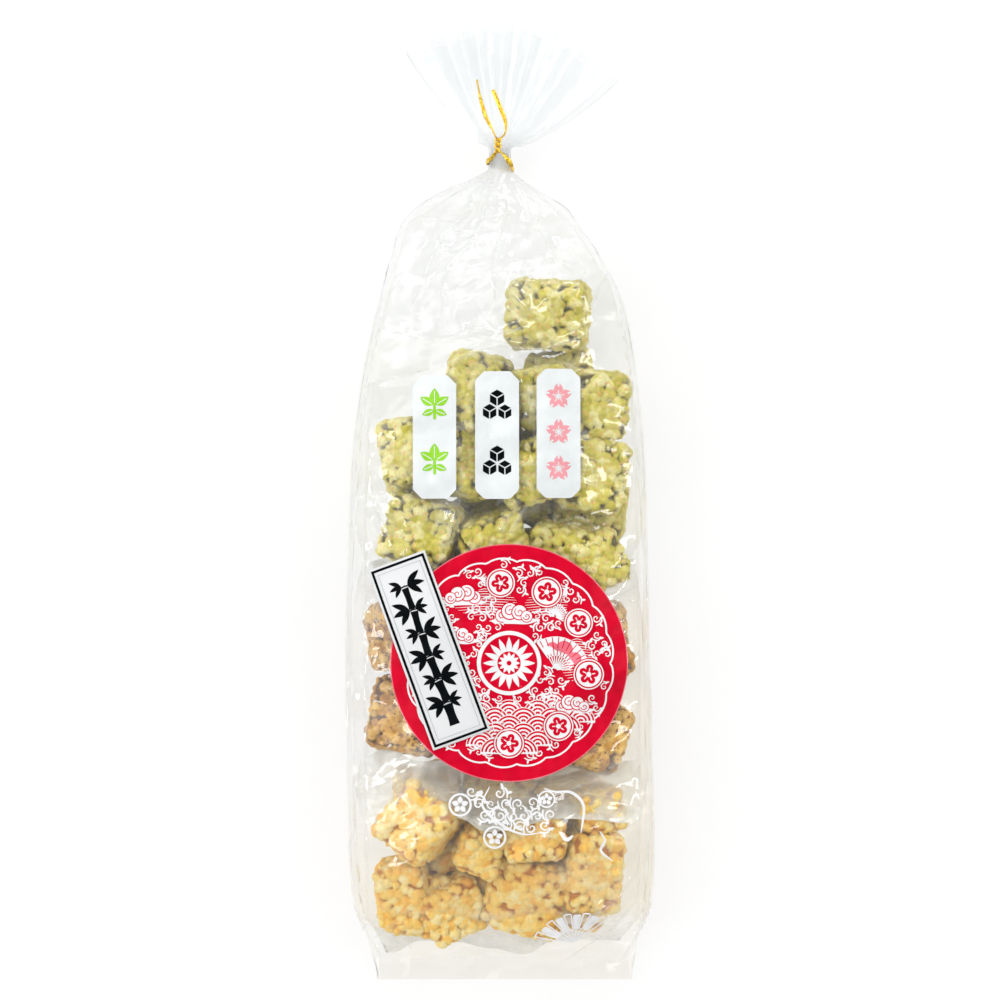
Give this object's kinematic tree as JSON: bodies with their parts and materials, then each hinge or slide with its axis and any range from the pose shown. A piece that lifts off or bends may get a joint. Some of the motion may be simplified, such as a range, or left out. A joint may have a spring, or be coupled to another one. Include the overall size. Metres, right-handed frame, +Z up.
{
  "type": "tied clear bag of puffed rice crackers",
  "caption": "Clear gusseted bag of puffed rice crackers, lying on its back: a filled body with a flat seal, a gathered neck under a twist tie, a pleated flared top and a slanted paper label.",
  "frame": {"origin": "on the surface that the bag lies on, under the middle of its length and width", "axes": "+Y along the bag towards its tied, flared end, +X across it to the right as the front is read, +Z up out of the front"},
  "size_m": [0.118, 0.3696, 0.0489],
  "materials": {
    "film_and_crackers": "clear glossy film over matte golden, green and brown puffed rice",
    "paper": "white coated paper with a black border line",
    "gold_foil": "shiny gold foil strip with a wire inside"
  },
  "bodies": {
    "root": {"bag": "film_and_crackers", "label": "paper", "twist_tie": "gold_foil"}
  },
  "joints": []
}
